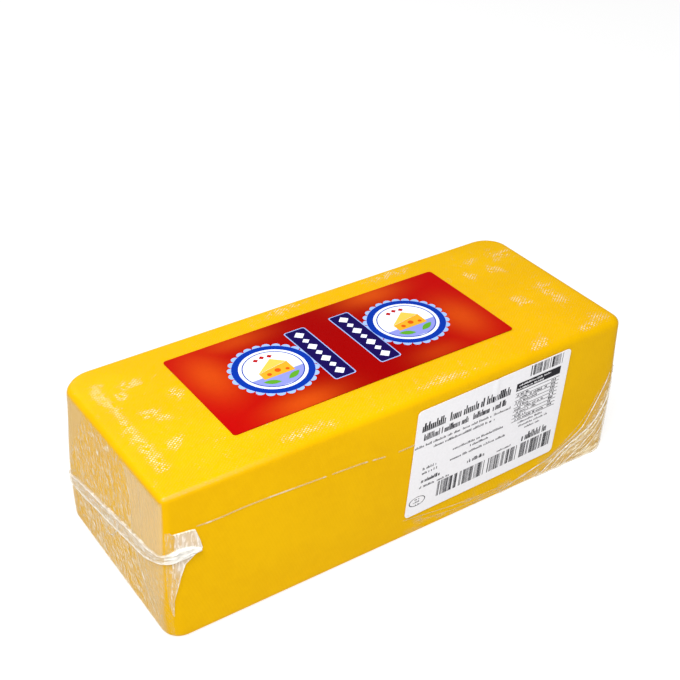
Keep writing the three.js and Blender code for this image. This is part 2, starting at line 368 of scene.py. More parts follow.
class Shader:
    """Builds a node material."""

    def __init__(self, name):
        self.material = bpy.data.materials.new(name)
        self.material.use_nodes = True
        self.tree = self.material.node_tree
        self.tree.nodes.clear()

    def node(self, kind, inputs=None, **settings):
        return add_node(self.tree, kind, inputs, settings)

    def math(self, operation, a, b=0.0, c=1.0, clamp=False):
        inputs = {0: a, 1: b, 2: c}
        return self.node("ShaderNodeMath", inputs, operation=operation, use_clamp=clamp).outputs[0]

    def mapping(self, vector, **settings):
        return self.node("ShaderNodeMapping", {"Vector": vector, **settings}).outputs[0]

    def coordinates(self, scale=(1, 1, 1), turn=(0, 0, 0)):
        """Object coordinates in millimetres, turned and then divided by a size along each axis."""
        source = self.node("ShaderNodeTexCoord").outputs["Object"]
        size = [1 / (MM * s) for s in scale]
        return self.mapping(self.mapping(source, Rotation=turn), Scale=size)

    def noise(self, vector, detail=2.0, distortion=0.0):
        inputs = {"Vector": vector, "Scale": 1.0, "Detail": detail, "Distortion": distortion}
        return self.node("ShaderNodeTexNoise", inputs).outputs["Fac"]

    def attribute(self, name, output="Fac"):
        return self.node("ShaderNodeAttribute", attribute_name=name).outputs[output]

    def ramp(self, value, low, high):
        """Value stretched so that low gives 0 and high gives 1."""
        inputs = {"Value": value, "From Min": low, "From Max": high}
        return self.node("ShaderNodeMapRange", inputs, interpolation_type="SMOOTHSTEP").outputs[0]

    def blend(self, factor, a, b):
        return self.node("ShaderNodeMix", {0: factor, 6: (*a, 1), 7: (*b, 1)}, data_type="RGBA").outputs[2]

    def bump(self, height, distance, strength=1.0):
        inputs = {"Height": height, "Distance": distance * MM, "Strength": strength}
        return self.node("ShaderNodeBump", inputs).outputs[0]

    def finish(self, **inputs):
        named = {key.replace("_", " "): value for key, value in inputs.items()}
        surface = self.node("ShaderNodeBsdfPrincipled", named)
        self.node("ShaderNodeOutputMaterial", {"Surface": surface.outputs[0]})
        return self.material


def hatch(shader, vector, pitch):
    """Fine even lines across the first axis, as a net pressed into the block leaves them."""
    one_band = math.tau / 20  # the scale at which bands are one unit apart
    inputs = {"Vector": vector, "Scale": one_band / pitch, "Distortion": 1.2, "Detail": 1.0,
              "Detail Scale": 0.6}
    return shader.node("ShaderNodeTexWave", inputs, wave_type="BANDS", bands_direction="X").outputs["Fac"]


def cheese_material(props):
    shader = Shader("pressed cheddar")
    clouds = shader.noise(shader.coordinates((60, 45, 45)), 3.0)
    curd = shader.noise(shader.coordinates((5, 5, 5)), 4.0, 0.4)
    tone = shader.math("ADD", shader.math("MULTIPLY", clouds, 0.7), shader.math("MULTIPLY", curd, 0.3))
    lines = hatch(shader, shader.coordinates(turn=(0, math.radians(20), NET_TURN)), NET_PITCH)
    mottled = shader.math("ADD", tone, shader.math("MULTIPLY", lines, 0.05))
    colour = shader.blend(shader.ramp(mottled, 0.37, 0.7), tuple(props.deep), tuple(props.colour))
    fine = shader.noise(shader.coordinates((1.6, 1.6, 1.6)), 3.0)
    relief = shader.math("ADD", shader.math("MULTIPLY", lines, 0.7), fine)
    rough = shader.math("ADD", shader.math("MULTIPLY", curd, 0.12), props.roughness - 0.06)
    return shader.finish(Base_Color=colour, Roughness=rough, Specular_IOR_Level=props.shine,
                         Normal=shader.bump(relief, 0.06, 0.5))


def film_material(name, props, crushed):
    """Film that is clear where it is tight and cloudy where it is loose, and clouded along the front's top
    edge as a painted highlight.

    The mesh says how cloudy it is (milk), how far that breaks up into flecks and streaks (grain), how
    much of the net's pattern shows (net), and how the film is drawn (flow, in millimetres across and
    along).
    """
    shader = Shader(name)
    milk, grain, net = (shader.attribute(key) for key in ("milk", "grain", "net"))
    flow = shader.attribute("flow", "Vector")

    def drawn(across, along, low, high, detail=2.0):
        vector = shader.mapping(flow, Scale=(1 / across, 1 / along, 1))
        return shader.ramp(shader.noise(vector, detail, 0.3), low, high)

    flecks = drawn(0.9, 4.2, 0.52, 0.62, 3.0)
    streaks = drawn(1.7, 24, 0.46, 0.6)
    marks = shader.math("ADD", shader.math("MULTIPLY", flecks, 1.9), shader.math("MULTIPLY", streaks, 0.7))
    broken = shader.math("SUBTRACT", marks, 0.8)
    cloudy = shader.math("MULTIPLY", milk, shader.math("MULTIPLY_ADD", broken, grain, 1.0))
    crossed = shader.mapping(flow, Rotation=(0, 0, math.pi / 2))
    rows, columns = (shader.ramp(hatch(shader, way, NET_PITCH), 0.25, 0.6) for way in (flow, crossed))
    dots = shader.math("MULTIPLY", shader.math("MULTIPLY", rows, columns), drawn(2.4, 3.0, 0.36, 0.52))
    alpha = shader.math("ADD", cloudy, shader.math("MULTIPLY", net, dots), clamp=True)
    relief = shader.math("ADD", shader.math("MULTIPLY", flecks, 0.0 if crushed else 1.0), streaks)
    cloudy_colour = tuple(props.crushed if crushed else props.milk)
    colour = shader.blend(shader.ramp(alpha, 0.25, 0.6), tuple(props.haze), cloudy_colour)
    return shader.finish(Base_Color=colour, Roughness=0.24, Specular_IOR_Level=0.4, Alpha=alpha,
                         Normal=shader.bump(relief, 0.08, 0.5))


def ink_material(name, roughness, grain, specular):
    """A printed surface, whose colour comes with the mesh."""
    shader = Shader(name)
    speck = shader.noise(shader.coordinates((grain, grain, grain)), 3.0)
    shade = shader.node("ShaderNodeHueSaturation", {
        "Color": shader.attribute("ink", "Vector"),
        "Value": shader.math("ADD", shader.math("MULTIPLY", speck, 0.12), 0.94),
    }).outputs[0]
    rough = shader.math("ADD", shader.math("MULTIPLY", speck, 0.1), roughness - 0.05)
    waves = shader.noise(shader.coordinates((14, 14, 14)), 2.0)
    return shader.finish(Base_Color=shade, Roughness=rough, Specular_IOR_Level=specular,
                         Normal=shader.bump(waves, 0.12, 0.5))


# Cheese and film

# Paths on the film: on the front as (x, z), on the left end as (y, z)
FRONT_SEAM = [  # in four lengths, with gaps between them
    [(-128.0, 68.6), (-118.6, 67.7), (-99.3, 68.6), (-61.1, 66.6), (-55.0, 66.3)],
    [(-52.0, 66.1), (-33.8, 65.2), (-30.0, 64.6)],
    [(-27.5, 64.3), (-19.0, 63.2)],
    [(-11.0, 62.7), (2.0, 62.9)],
]
FOLD_HIGH = [(62.0, 3.0), (85.0, 8.6), (97.5, 10.5), (109.6, 16.4), (121.2, 21.9), (125.0, 27.0),
             (130.0, 37.0), (135.9, 49.6), (138.5, 56.0)]
FOLD_LOW = [(90.0, 1.0), (101.1, 7.7), (111.7, 15.5), (122.5, 18.7), (130.9, 24.0), (134.5, 31.0),
            (138.0, 38.0), (141.0, 47.0)]
FRONT_THREADS = [  # path, half width, milk
    (FOLD_HIGH, 0.4, 0.55),
    (FOLD_LOW, 0.5, 0.75),
    ([(101.0, 3.4), (111.9, 13.2), (129.4, 16.0)], 0.35, 0.6),
    ([(108.0, 1.5), (121.0, 9.0), (133.0, 18.0), (139.0, 33.0)], 0.4, 0.65),
    ([(118.0, 1.0), (130.0, 8.0), (138.5, 20.0), (142.0, 40.0)], 0.35, 0.6),
    ([(96.0, 10.2), (112.0, 20.0), (124.5, 30.0), (132.0, 46.0)], 0.25, 0.3),
    ([(-6.0, 13.6), (14.0, 10.5), (32.4, 7.8), (59.6, 6.2), (84.0, 5.8), (98.0, 9.0)], 0.3, 0.22),
    ([(2.0, 9.4), (26.5, 5.3), (53.5, 3.3), (75.0, 4.2), (92.0, 4.6)], 0.3, 0.2),
]
END_THREADS = [
    ([(35.1, 77.2), (32.5, 68.0), (28.7, 61.0)], 0.25, 0.3),
    ([(-2.4, 72.2), (-7.0, 60.0), (-13.3, 49.0)], 0.25, 0.3),
    ([(-19.9, 85.5), (-26.2, 69.0), (-25.9, 48.5)], 0.3, 0.4),
    ([(-34.0, 84.0), (-36.0, 70.0), (-37.0, 52.0)], 0.2, 0.2),
    ([(16.0, 36.0), (14.8, 31.4), (9.0, 29.0), (0.5, 27.6), (-5.0, 35.0), (-12.1, 42.6)], 0.35, 0.4),
    ([(-30.0, 41.0), (-34.0, 30.0), (-44.1, 11.2)], 0.4, 0.4),
    ([(-37.0, 43.0), (-43.0, 27.0), (-50.0, 9.0)], 0.3, 0.3),
    ([(-22.0, 42.0), (-27.0, 28.0), (-36.0, 14.0)], 0.25, 0.3),
]
TOP_PATCHES = [  # x, y, half length, half width
    (-118, 3, 6, 5), (-116, -3, 5, 4), (-120, -24.5, 6, 5), (-118, 31, 5, 5), (-123.5, 25, 4, 5),
    (-114, 32, 4, 4), (-101, 12, 5, 4), (132, 34, 9, 5), (127, -12, 5, 9), (127, -25, 6, 6), (130, -50, 8, 4),
    (117.6, 22, 6, 5), (107.4, -12.7, 6, 6), (111, 37.5, 7, 4), (123.5, -55, 9, 4), (85.6, -53, 9, 4),
    (100, 24, 4, 5), (-60, -51, 14, 3), (20, -52, 16, 3), (-10, 51, 18, 3), (60, 51, 16, 3),
]


# On the ends: edges of the smooth strips above the weld and of the fan below it, each as heights and
# places in Y, and the narrow wedge of film that hangs from the weld
NEAR_STRIP_EDGE = [47, 69, 84], [-26, -26.2, -19.9]
FAR_STRIP_Y, FAR_STRIP_TOP, FAR_STRIP_SLOPE = 30, 77, 0.6
FAN_EDGE = [8, 36], [-36, -26]
HANGING = {"y": 3, "half width": 6, "lean": 0.35, "leans from": 42, "taper": 0.4, "tapers from": 40}


def hanging_wedge(y, z):
    """Distance in from the edge of the wedge that hangs from the weld."""
    middle = (HANGING["leans from"] - z) * HANGING["lean"]
    taper = (HANGING["tapers from"] - z) * HANGING["taper"]
    return HANGING["half width"] - np.abs(y - HANGING["y"] - middle) - taper


def end_looks(points, outward):
    """The film on an end: tight under the top edge, then smooth strips, flecks and cloudy film below."""
    y, z = points[:, 1], points[:, 2]
    facing = np.abs(outward[:, 0]) - 0.14 * smooth(45 - z, 0, 30)
    loose = smooth(facing, 0.70, 0.84) * smooth(HEIGHT - z, 2.5, 4.5)
    near = smooth(np.interp(z, *NEAR_STRIP_EDGE) - y, -0.5, 0.8)
    far = smooth(y - FAR_STRIP_Y - FAR_STRIP_SLOPE * (FAR_STRIP_TOP - z), 0, 4)
    low = smooth(weld_height(y) - z, 0, 3)
    hanging = low * smooth(hanging_wedge(y, z), -1, 1)
    fan = low * smooth(np.interp(z, *FAN_EDGE) - y, 0, 4)
    plain = np.clip(np.maximum(near, far) * (1 - low) + 0.8 * fan + 0.8 * hanging, 0, 1)
    blotch = noise_at(points, np.array([20, 12, 15]), 6)
    strips = (NEAR_STRIP_MILK * near + FAR_STRIP_MILK * far) * (1 - low)
    milk = END_MILK + strips + BELOW_WELD_MILK * low + FAN_MILK * fan + HANGING_MILK * hanging
    milk = milk * (1 + 0.35 * blotch * (1 - plain))
    return loose, milk, (1 - plain) * (END_GRAIN + BELOW_WELD_GRAIN * low)


def fold_looks(points, outward):
    """The loose film on the sides that gathers towards the right end's weld, and a band along its fold."""
    x, z = points[:, 0], points[:, 2]
    facing = smooth(0.8 * outward[:, 0] + np.abs(outward[:, 1]), 0.4, 0.8)
    beyond_high = smooth(x - place_at_height(FOLD_HIGH, z), -0.5, 1.2) * (1 - smooth(z, 50, 58))
    beyond_low = smooth(x - place_at_height(FOLD_LOW, z), -0.5, 1.2) * (1 - smooth(z, 44, 54))
    gap, _ = distance_to_path(points[:, [0, 2]], FOLD_LOW)
    band = bell(gap, 3.5) * smooth(z, 4, 14)
    return facing * beyond_high, facing * beyond_low, facing * band


def wrinkle_looks(points, outward):
    """Broken pale wrinkles along the front's lower edge."""
    x, z = points[:, 0], points[:, 2]
    level = smooth(x, -14, 20) * (1 - smooth(z, 9, 15)) * smooth(np.abs(outward[:, 1]), 0.1, 0.6)
    return level * smooth(noise_at(points, np.array([8, 8, 2.2]), 8), 0.05, 0.45)


def top_looks(points, outward):
    """How much of the net's pattern shows: patches of trapped air, mostly near the ends of the top."""
    x, y = points[:, 0], points[:, 1]
    spots = spots_at(x, y, [(*patch, 1) for patch in TOP_PATCHES])
    strip = bell(x + 133, 3.2) * (1 - smooth(np.abs(y), 36, 44))
    cloud = noise_at(points, np.array([6, 4.5, 20]), 3) + 0.7 * noise_at(points, np.array([2.4, 2, 9]), 4)
    shown = smooth(cloud + 1.7 * np.maximum(spots, strip), 0.45, 1.35)
    return smooth(outward[:, 2], 0.7, 0.98) * (TOP_NET + PATCH_NET * shown)


def flow_of(points, outward):
    """How the film is drawn at each point, as millimetres across and along the threads in it."""
    x, y, z = points.T
    main = np.abs(outward).argmax(1)
    other = np.where(main == 2, y, z)
    across = x * math.cos(NET_TURN) + other * math.sin(NET_TURN)
    along = other * math.cos(NET_TURN) - x * math.sin(NET_TURN)
    across = np.where(main == 0, (y - DRAW_SLOPE * z) / DRAW_LENGTH, across)
    along = np.where(main == 0, (z + DRAW_SLOPE * y) / DRAW_LENGTH, along)
    gap, share = distance_to_path(points[:, [0, 2]], FOLD_LOW)
    side = np.sign(x - place_at_height(FOLD_LOW, z))
    swept = (main == 1) & (x > FOLDS_FROM_X) & (z < FOLDS_TO_Z)
    across, along = np.where(swept, side * gap, across), np.where(swept, share * FOLD_LENGTH, along)
    wrinkled = (main == 1) & (x <= FOLDS_FROM_X) & (z < WRINKLES_TO_Z)
    across, along = np.where(wrinkled, z, across), np.where(wrinkled, x, along)
    return np.stack([across, along, main * SIDE_STEP], -1)


def film_form(points, outward):
    """Lift of the film off the block and its looks at each point."""
    loose, end_milk, grain = end_looks(points, outward)
    beyond_high, beyond_low, band = fold_looks(points, outward)
    wrinkles = wrinkle_looks(points, outward)
    ripple = ridges_at(points, np.array([9, 3.2, 30]), 1)
    slack = np.maximum(loose * 0.6, beyond_low)
    lift = TIGHT_LIFT + slack * (SLACK_LIFT + RIPPLE_LIFT * ripple)
    lift = lift + WRINKLE_LIFT * wrinkles + FOLD_LIFT * beyond_high
    folded = FOLD_HIGH_MILK * beyond_high + FOLD_LOW_MILK * beyond_low + FOLD_BAND_MILK * band
    milk = np.maximum(loose * end_milk, folded) + WRINKLE_MILK * wrinkles
    corner = smooth(-outward[:, 0], 0.5, 0.65) * (1 - loose) * smooth(-outward[:, 1], 0.2, 0.6)
    net = top_looks(points, outward) + CORNER_NET * corner * (1 - smooth(points[:, 2], 48, 54))
    # Painted highlight: the film is clouded white along the rounded edge between front and top, fading out
    # from the left end towards the middle
    edge_highlight_band = smooth(outward[:, 2], 0.35, 0.6) * (1 - smooth(outward[:, 2], 0.8, 0.95))
    front_edge_highlight = edge_highlight_band * smooth(-outward[:, 1], 0.3, 0.6)
    milk = milk + TOP_EDGE_PAINTED_HIGHLIGHT * front_edge_highlight * (1 - smooth(points[:, 0], -146, -60))
    grain = np.where(loose > 0.02, grain, SIDE_GRAIN)
    return lift, {"milk": milk, "grain": grain, "net": net, "flow": flow_of(points, outward)}


def make_cheese(props):
    box, faces = shell_lattice(CHEESE_CELLS)
    points, outward = block_surface(box)
    mesh = make_mesh("cheese", points - 0.05 * outward, faces)
    return make_piece("cheese", mesh, cheese_material(props), "sealed_block")


def make_film(props):
    box, faces = shell_lattice(FILM_CELLS)
    points, outward = block_surface(box)
    lift, looks = film_form(points, outward)
    mesh = make_mesh("film", points + lift[:, None] * outward, faces, **looks)
    return make_piece("film", mesh, film_material("shrink film", props, False), "sealed_block")


def rounded_path(path, rounds=3):
    """A path with its corners cut, for a smooth course."""
    path = np.asarray(path, float)
    for _ in range(rounds):
        start, end = path[:-1], path[1:]
        cut = np.stack([start * 0.75 + end * 0.25, start * 0.25 + end * 0.75], 1).reshape(-1, 2)
        path = np.concatenate([path[:1], cut, path[-1:]])
    return path


def thread_mesh(box, half_width):
    """Points and faces of a thin closed thread that lies on the film."""
    points, outward = block_surface(box)
    lift, _ = film_form(points, outward)
    points = points + lift[:, None] * outward
    along = np.gradient(points, axis=0)
    side = np.cross(outward, along)
    side /= np.linalg.norm(side, axis=1, keepdims=True)
    share = np.linspace(-1, 1, len(points))[:, None]
    taper = half_width * np.sqrt(np.maximum(1 - share ** 4, 0.02))
    section = ((-1, 0), (-0.5, 0.6), (0.5, 0.6), (1, 0))
    offsets = [side * taper * a + outward * (taper * b - 0.1) for a, b in section]
    rings = np.stack([points + offset for offset in offsets], 1)
    count = len(points)
    index = np.arange(count * 4).reshape(count, 4)
    walls = [[index[n, a], index[n + 1, a], index[n + 1, (a + 1) % 4], index[n, (a + 1) % 4]]
             for n in range(count - 1) for a in range(4)]
    return rings.reshape(-1, 3), walls + [index[0].tolist(), index[-1, ::-1].tolist()]


def make_threads(props):
    """Seam and fold lines, each a thin thread of gathered film."""
    points, faces, milks, flows, total = [], [], [], [], 0
    seam = [(path, SEAM_HALF_WIDTH, SEAM_MILK) for path in FRONT_SEAM]
    places = [(0, -HALF[1], *thread) for thread in seam + FRONT_THREADS]
    places += [(0, HALF[1], *thread) for thread in FRONT_THREADS]
    places += [(1, -HALF[0], *thread) for thread in END_THREADS]
    for axis, fixed, path, half_width, milk in places:
        flat = rounded_path(path)
        box = np.full((len(flat), 3), fixed)
        box[:, axis], box[:, 2] = flat[:, 0], flat[:, 1] - HALF[2]
        more, more_faces = thread_mesh(box, half_width)
        points.append(more)
        faces += [[int(n) + total for n in face] for face in more_faces]
        total += len(more)
        milks.append(np.full(len(more), milk))
        flows.append(np.stack([np.zeros(len(more)), np.repeat(np.arange(len(flat)) * 0.8, 4),
                               np.full(len(more), 3.0 * len(points))], -1))
    mesh = make_mesh("film_threads", np.concatenate(points), faces, milk=np.concatenate(milks),
                     grain=np.full(total, THREAD_GRAIN), net=np.zeros(total), flow=np.concatenate(flows))
    material = film_material("gathered film", props, True)
    return make_piece("film_threads", mesh, material, "sealed_block")


def make_relief(name, box, lift, milk, grain, flow, material):
    """A closed piece of gathered film on the block, over a grid of points of the sharp box."""
    points, outward = block_surface(box)
    mesh_points, faces = closed_slab(points + lift[..., None] * outward, points - outward)
    flow = np.stack(np.broadcast_arrays(*flow), -1).reshape(-1, 3)
    looks = {"milk": milk.ravel(), "grain": grain.ravel(), "net": np.zeros(milk.size)}
    mesh = make_mesh(name, mesh_points, faces, flow=np.tile(flow, (2, 1)),
                     **{key: np.tile(value, 2) for key, value in looks.items()})
    return make_piece(name, mesh, material, "sealed_block")


def weld_profile(x, y, ear_scales):
    """Middle and half width of the weld, and how far it is a knot and an ear, at each place."""
    knot, ear = np.zeros(x.shape), np.zeros(x.shape)
    middle = weld_height(y)
    half_width = WELD_HALF_WIDTH - WELD_NARROWING * smooth(np.abs(y), WELD_NARROWS_FROM, WELD_REACH)
    for side, scale in ear_scales:
        a = np.where(y * side > HALF[1] - 0.01, (x + HALF[0]) / scale, -1.0)
        ear = np.maximum(ear, a > 0)
        knot = np.maximum(knot, smooth(a, 1, 7))
        middle = middle + scale * np.interp(a, [0, 8, EAR_LENGTH], [0, 1.4, 0.0])
        ear_width = scale * np.interp(a, [0, 8, 14, EAR_LENGTH], [2.6, 3.6, 2.8, 0.8])
        half_width = np.where(a > 0, ear_width, half_width)
    return middle, half_width, knot, ear


def make_weld(name, path, ear_scales, material):
    """The flattened band of film along a path round the block, with knots where it ends in ears."""
    path = np.asarray(path, float)
    ends = np.concatenate([[0], np.cumsum(np.linalg.norm(np.diff(path, axis=0), axis=1))])
    s, across = np.meshgrid(np.linspace(0, ends[-1], 230), np.linspace(-1, 1, 17), indexing="ij")
    x, y = np.interp(s, ends, path[:, 0]), np.interp(s, ends, path[:, 1])
    middle, half_width, knot, ear = weld_profile(x, y, ear_scales)
    flat = np.stack([s.ravel(), across.ravel() * 5, np.full(s.size, x.mean())], -1)
    crumple = noise_at(flat, np.array([3.0, 2.2, 5]), 11).reshape(s.shape)
    edges = flat * (1, 0, 1) + (0, 7, 0) * np.sign(flat)  # so that each edge wanders in its own way
    wander = noise_at(edges, np.array([14, 5, 5]), 13).reshape(s.shape)
    half_width = half_width * (1 + 0.10 * wander)
    rope = bell(np.abs(across) - 0.84, 0.14)
    box = np.stack([x, y, middle + across * half_width - HALF[2]], -1)
    lift = 0.75 + 0.3 * rope + (0.15 + 0.75 * knot) * (1 - across ** 4) * (1 + crumple)
    milk = 0.44 + 0.3 * rope + 0.12 * crumple + 0.4 * knot + 0.1 * ear
    flow = (across * half_width, s, 2.0)
    return make_relief(name, box, lift, milk, 0.2 + 0.1 * knot, flow, material)


def make_welds(props):
    material = film_material("welded film", props, True)
    left, far, near = -HALF[0], HALF[1], -HALF[1]
    left_path = [(left + EAR_LENGTH * props.ear_scale, far), (left, far), (left, near),
                 (left + EAR_LENGTH, near)]
    make_weld("weld_left", left_path, ((-1, 1.0), (1, props.ear_scale)), material)
    make_weld("weld_right", [(-left, -WELD_REACH), (-left, WELD_REACH)], (), material)


def make_ear(side, scale, material):
    """The weld's loose film, folded round the left end's corner and pressed on the side."""
    rises, reaches = zip(*reversed(EAR_EDGE))
    up, across = np.meshgrid(np.linspace(rises[0], rises[-1], 110), np.linspace(0, 1, 44), indexing="ij")
    inner = np.interp(up, *EAR_INNER)
    along = inner + (np.maximum(np.interp(up, rises, reaches), inner + 0.6) - inner) * across
    height = float(weld_height(side * WELD_REACH)) + up * scale - HALF[2]
    box = np.stack([along * scale - HALF[0], np.full(up.shape, side * HALF[1]), height], -1)
    fold = along - np.interp(up, *EAR_FOLD)
    line, outer_part = bell(fold, 0.45), smooth(fold, 0, 1.0)
    flat = np.stack([along.ravel(), np.full(up.size, side * 9.0), up.ravel()], -1)
    crumple = noise_at(flat, np.array([2.6, 5, 4.0]), 22).reshape(up.shape)
    rim = smooth(across, 0.86, 1.0)
    lift = 0.5 + 0.3 * line + 0.25 * outer_part + 0.12 * crumple + 0.2 * rim * (1 - smooth(across, 0.96, 1))
    milk = 0.26 + (0.14 + 0.18 * smooth(up, -16, -4)) * outer_part + 0.3 * line + 0.2 * rim + 0.06 * crumple
    name = "ear_front" if side < 0 else "ear_back"
    flow = (along * scale, up * scale, 5.0)
    return make_relief(name, box, lift, milk, 0.35 - 0.15 * outer_part, flow, material)


def make_ears(props):
    material = film_material("folded film", props, True)
    make_ear(-1, 1.0, material)
    make_ear(1, props.ear_scale, material)


# Printing: flat shapes laid on a sheet

def rounded_grid(length, width, corner, cell):
    """A grid over a rectangle with rounded corners, centred on the origin."""
    def stations(size):
        flat = size / 2 - corner
        arc = np.linspace(0, 1, 5)[1:] * corner + flat
        return np.concatenate([-arc[::-1], np.linspace(-flat, flat, max(1, round(2 * flat / cell)) + 1), arc])
    u, v = np.meshgrid(stations(length), stations(width), indexing="ij")
    over_u = np.maximum(0, np.abs(u) - (length / 2 - corner))
    over_v = np.maximum(0, np.abs(v) - (width / 2 - corner))
    far = np.hypot(over_u, over_v)
    pull = np.where(far > 0, np.maximum(over_u, over_v) / np.maximum(far, 1e-9), 1.0)
    return u - np.sign(u) * over_u * (1 - pull), v - np.sign(v) * over_v * (1 - pull)


def bar_shape(u, v, length, width, corner=0.5, turn=0.0, cell=6.0):
    a, b = rounded_grid(length, width, min(corner, length / 2.01, width / 2.01), cell)
    return turned(np.stack([a.ravel(), b.ravel()], -1), turn) + (u, v), grid_faces(*a.shape)


def disc_shape(u, v, radius_u, radius_v=None, inner=0.0, rings=3, steps=56, part=(0.0, math.tau)):
    """A disc, or a ring where inner is a share of the radius, or a part of either."""
    angles = np.linspace(*part, steps + 1)
    shares = np.linspace(max(inner, 0.02), 1, rings + 1)
    s, a = np.meshgrid(shares, angles, indexing="ij")
    points = np.stack([u + s * radius_u * np.cos(a), v + s * (radius_v or radius_u) * np.sin(a)], -1)
    return points.reshape(-1, 2), grid_faces(*s.shape)


def segment_shape(u, v, radius, low, high, steps=28):
    """The part of a disc between two heights."""
    b, a = np.meshgrid(np.linspace(low, high, 9), np.linspace(-1, 1, steps + 1), indexing="ij")
    half = np.sqrt(np.maximum(radius ** 2 - b ** 2, 0.01))
    return np.stack([u + a * half, v + b], -1).reshape(-1, 2), grid_faces(*b.shape)


def leaf_shape(u, v, length, width, turn):
    a, b = np.meshgrid(np.linspace(-1, 1, 15), np.linspace(-1, 1, 5), indexing="ij")
    half = width / 2 * np.maximum(1 - a ** 2, 0.01)
    points = np.stack([a * length / 2, b * half], -1).reshape(-1, 2)
    return turned(points, turn) + (u, v), grid_faces(*a.shape)


def strip_shape(lower, upper):
    """A shape between two edges, each a list of corners."""
    rows = np.array([lower, upper], float)
    return rows.reshape(-1, 2), grid_faces(*rows.shape[:2])


def turned(points, degrees):
    c, s = math.cos(math.radians(degrees)), math.sin(math.radians(degrees))
    return points @ np.array([[c, s], [-s, c]])


class Print:
    """Collects a sheet and the shapes printed on it, each a thin closed layer on the one below."""

    def __init__(self, place):
        self.place = place
        self.points, self.faces, self.colours, self.count = [], [], [], 0

    def add(self, points, faces, colours):
        self.points.append(points)
        self.colours.append(colours)
        self.faces += [[n + self.count for n in face] for face in faces]
        self.count += len(points)

    def sheet(self, u, v, thickness, colours):
        outer, inner = self.place(u, v, thickness), self.place(u, v, 0.0)
        points, faces = closed_slab(outer, inner)
        self.add(points, faces.tolist(), np.concatenate([colours, colours]))
        self.thickness = thickness

    def layer(self, shape, colour, level):
        """Lays a shape on the sheet. A higher level covers a lower one."""
        flat, faces = shape
        flat = np.asarray(flat)
        u, v = flat[:, 0], flat[:, 1]
        top = self.place(u, v, self.thickness + LAYER_THICKNESS * level)
        base = self.place(u, v, self.thickness - LAYER_DEPTH)
        sides = [[a, b, b + len(flat), a + len(flat)] for a, b in open_edges(faces)]
        under = [[n + len(flat) for n in reversed(face)] for face in faces]
        self.add(np.concatenate([top, base]), faces + under + sides, np.tile(colour, (2 * len(flat), 1)))

    def mesh(self, name):
        return make_mesh(name, np.concatenate(self.points), self.faces, ink=np.concatenate(self.colours))


def open_edges(faces):
    """The edges that belong to one face only, turned for a wall that faces out."""
    seen = {}
    for face in faces:
        for a, b in zip(face, face[1:] + face[:1]):
            if (b, a) in seen:
                del seen[(b, a)]
            else:
                seen[(a, b)] = True
    return [(b, a) for a, b in seen]


# Rows of marks, made with geometry nodes

MARKS_INPUTS = {
    "Marks": "Int", "Pitch": "Float", "Height": "Float", "Low Share": "Float", "Gap Share": "Float",
    "Thinnest": "Float", "Widest": "Float", "Seed": "Int", "Material": "Material",
}
LOW_MARK = 0.66


def marks_tree():
    """A row of upright marks with random widths, heights and gaps, starting at the origin."""
    tree = bpy.data.node_groups.new("row of marks", "GeometryNodeTree")
    for name, kind in MARKS_INPUTS.items():
        tree.interface.new_socket(name, in_out="INPUT", socket_type="NodeSocket" + kind)
    tree.interface.new_socket("Geometry", in_out="OUTPUT", socket_type="NodeSocketGeometry")
    given = add_node(tree, "NodeGroupInput").outputs

    def node(kind, inputs, output=0, **settings):
        return add_node(tree, kind, inputs, settings).outputs[output]

    def times(a, b):
        return node("ShaderNodeMath", {0: a, 1: b}, operation="MULTIPLY")

    def vector(x=0.0, y=0.0, z=0.0):
        return node("ShaderNodeCombineXYZ", {"X": x, "Y": y, "Z": z})

    def chance(share, seed_step):
        seed = node("ShaderNodeMath", {0: given["Seed"], 1: seed_step}, operation="ADD")
        return node("FunctionNodeRandomValue", {"Probability": share, "Seed": seed}, 3, data_type="BOOLEAN")

    row = {"Count": given["Marks"], "Offset": vector(given["Pitch"])}
    line = node("GeometryNodeMeshLine", row, mode="OFFSET")
    gaps = {"Geometry": line, "Selection": chance(given["Gap Share"], 1.0)}
    kept = node("GeometryNodeDeleteGeometry", gaps, domain="POINT")
    widths = {2: given["Thinnest"], 3: given["Widest"], "Seed": given["Seed"]}
    width = times(node("FunctionNodeRandomValue", widths, 1, data_type="FLOAT"), given["Pitch"])
    heights = {"Switch": chance(given["Low Share"], 2.0), "False": 1.0, "True": LOW_MARK}
    height = times(node("GeometryNodeSwitch", heights, input_type="FLOAT"), given["Height"])
    mark = node("GeometryNodeMeshGrid", {"Size X": 1.0, "Size Y": 1.0, "Vertices X": 2, "Vertices Y": 2})
    placed = node("GeometryNodeInstanceOnPoints",
                  {"Points": kept, "Instance": mark, "Scale": vector(width, height, 1.0)})
    moved = node("GeometryNodeTranslateInstances",
                 {"Instances": placed, "Translation": vector(y=times(height, 0.5)), "Local Space": False})
    real = node("GeometryNodeRealizeInstances", {"Geometry": moved})
    painted = node("GeometryNodeSetMaterial", {"Geometry": real, "Material": given["Material"]})
    add_node(tree, "NodeGroupOutput", {"Geometry": painted})
    return tree


def evaluate(tree, **values):
    """Runs a node tree once and returns the points and faces that it makes."""
    holder = bpy.data.objects.new("marks", bpy.data.meshes.new("marks"))
    bpy.context.scene.collection.objects.link(holder)
    modifier = holder.modifiers.new("marks", "NODES")
    modifier.node_group = tree
    names = {item.name: item.identifier for item in tree.interface.items_tree if item.in_out == "INPUT"}
    for key, value in values.items():
        modifier[names[key.replace("_", " ")]] = value
    bpy.context.view_layer.update()
    mesh = bpy.data.meshes.new_from_object(holder.evaluated_get(bpy.context.evaluated_depsgraph_get()))
    points = np.array([v.co[:2] for v in mesh.vertices])
    faces = [list(p.vertices) for p in mesh.polygons]
    bpy.data.objects.remove(holder)
    bpy.data.meshes.remove(mesh)
    return points, faces


# The printed sheet on the top

